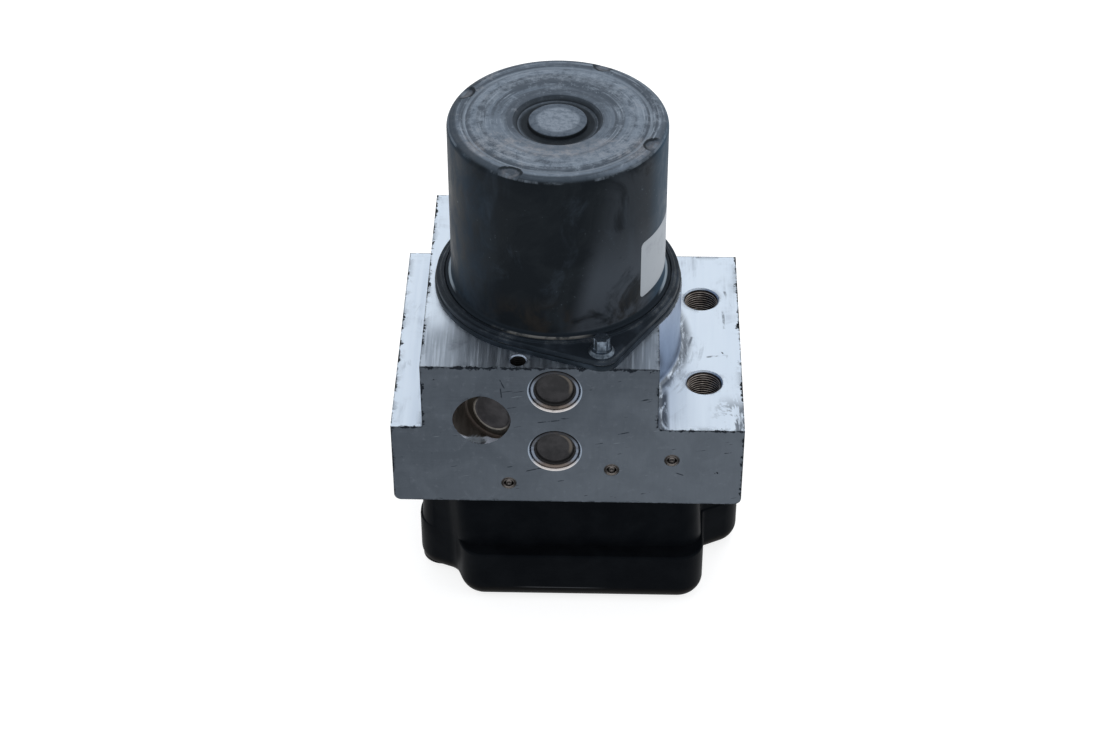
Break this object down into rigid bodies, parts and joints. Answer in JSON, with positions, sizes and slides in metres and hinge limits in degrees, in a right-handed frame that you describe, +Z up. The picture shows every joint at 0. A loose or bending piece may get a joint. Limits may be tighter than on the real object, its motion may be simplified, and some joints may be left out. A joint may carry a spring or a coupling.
{
  "type": "abs brake module",
  "caption": "Anti-lock brake unit: a round pump motor on a machined hydraulic block with threaded line ports, and a plastic control unit with a harness socket below.",
  "frame": {"origin": "on the motor axis, in the plane of the control unit's underside", "axes": "+X right of the plug face, +Y back from it, +Z up along the motor axis"},
  "size_m": [0.1193, 0.1275, 0.1721],
  "materials": {
    "block_aluminium": "machined, worn",
    "can_paint": "charcoal, worn",
    "plate_paint": "black satin",
    "gasket_rubber": "matte",
    "zinc_steel": "bluish zinc",
    "label": "matte",
    "plug_steel": "dark",
    "sleeve_steel": "satin",
    "hard_steel": "ground",
    "ferrite": "matte",
    "lamination": "matte",
    "copper": "enamelled",
    "carbon": "matte",
    "brown_plastic": "matte",
    "spring_steel": "satin",
    "piston_aluminium": "anodised",
    "seal_rubber": "matte",
    "ecu_plastic": "satin black",
    "board": "solder mask",
    "tin": "tinned"
  },
  "bodies": {
    "unit": {"hydraulic_block": "block_aluminium", "motor_can": "can_paint", "can_label": "label", "motor_end_plate": "plate_paint", "motor_gasket": "gasket_rubber", "motor_bolt_front": "zinc_steel", "motor_bolt_rear": "zinc_steel", "magnet_front": "ferrite", "magnet_rear": "ferrite", "front_bearing": "hard_steel", "rear_bearing": "hard_steel", "brush_holder": "brown_plastic", "motor_terminals": "tin", "brush_spring_left": "spring_steel", "brush_spring_right": "spring_steel", "damper_plug": "plug_steel", "expander_sleeves": "sleeve_steel", "expander_balls": "hard_steel", "inlet_coils": "copper", "outlet_coils": "copper", "connector_pins": "tin", "connector_leads": "tin", "ecu_housing": "ecu_plastic", "ecu_lid": "ecu_plastic", "ecu_seal": "seal_rubber", "circuit_board": "board", "ecu_screws": "zinc_steel", "pump_cylinder_front": "sleeve_steel", "pump_spring_front": "spring_steel", "pump_plug_front": "plug_steel", "accumulator_spring_front": "spring_steel", "accumulator_plug_front": "plug_steel", "pump_cylinder_rear": "sleeve_steel", "pump_spring_rear": "spring_steel", "pump_plug_rear": "plug_steel", "accumulator_spring_rear": "spring_steel", "accumulator_plug_rear": "plug_steel", "inlet_valve_one": "sleeve_steel", "inlet_valve_two": "sleeve_steel", "inlet_valve_three": "sleeve_steel", "inlet_valve_four": "sleeve_steel", "outlet_valve_one": "sleeve_steel", "outlet_valve_two": "sleeve_steel", "outlet_valve_three": "sleeve_steel", "outlet_valve_four": "sleeve_steel"},
    "armature": {"motor_shaft": "hard_steel", "eccentric_bearing": "hard_steel", "armature_core": "lamination", "armature_windings": "copper", "commutator": "copper"},
    "piston_front": {"pump_piston_front": "hard_steel"},
    "piston_rear": {"pump_piston_rear": "hard_steel"},
    "store_piston_front": {"accumulator_piston_front": "piston_aluminium", "accumulator_seal_front": "seal_rubber"},
    "store_piston_rear": {"accumulator_piston_rear": "piston_aluminium", "accumulator_seal_rear": "seal_rubber"},
    "brush_a": {"brush_left": "carbon"},
    "brush_b": {"brush_right": "carbon"}
  },
  "joints": [
    {"name": "armature_spin", "type": "hinge", "parent": "unit", "child": "armature", "pos_m": [0, 0, 0.125], "axis": [0, 0, 1], "continuous": true},
    {"name": "pump_stroke_front", "type": "slide", "parent": "unit", "child": "piston_front", "axis": [0, -1, 0], "range_m": [0, 0.002], "stiffness_N_per_m": 600, "springref_m": -0.001, "deforming": ["pump_spring_front"]},
    {"name": "accumulator_stroke_front", "type": "slide", "parent": "unit", "child": "store_piston_front", "axis": [0, -1, 0], "range_m": [0, 0.008], "stiffness_N_per_m": 500, "springref_m": -0.002, "deforming": ["accumulator_spring_front"]},
    {"name": "pump_stroke_rear", "type": "slide", "parent": "unit", "child": "piston_rear", "axis": [0, 1, 0], "range_m": [0, 0.002], "stiffness_N_per_m": 600, "springref_m": -0.001, "deforming": ["pump_spring_rear"]},
    {"name": "accumulator_stroke_rear", "type": "slide", "parent": "unit", "child": "store_piston_rear", "axis": [0, 1, 0], "range_m": [0, 0.008], "stiffness_N_per_m": 500, "springref_m": -0.002, "deforming": ["accumulator_spring_rear"]},
    {"name": "brush_travel_left", "type": "slide", "parent": "unit", "child": "brush_a", "axis": [-1, 0, 0], "range_m": [0, 0.0035], "stiffness_N_per_m": 120, "springref_m": -0.002, "deforming": ["brush_spring_left"]},
    {"name": "brush_travel_right", "type": "slide", "parent": "unit", "child": "brush_b", "axis": [1, 0, 0], "range_m": [0, 0.0035], "stiffness_N_per_m": 120, "springref_m": -0.002, "deforming": ["brush_spring_right"]}
  ]
}
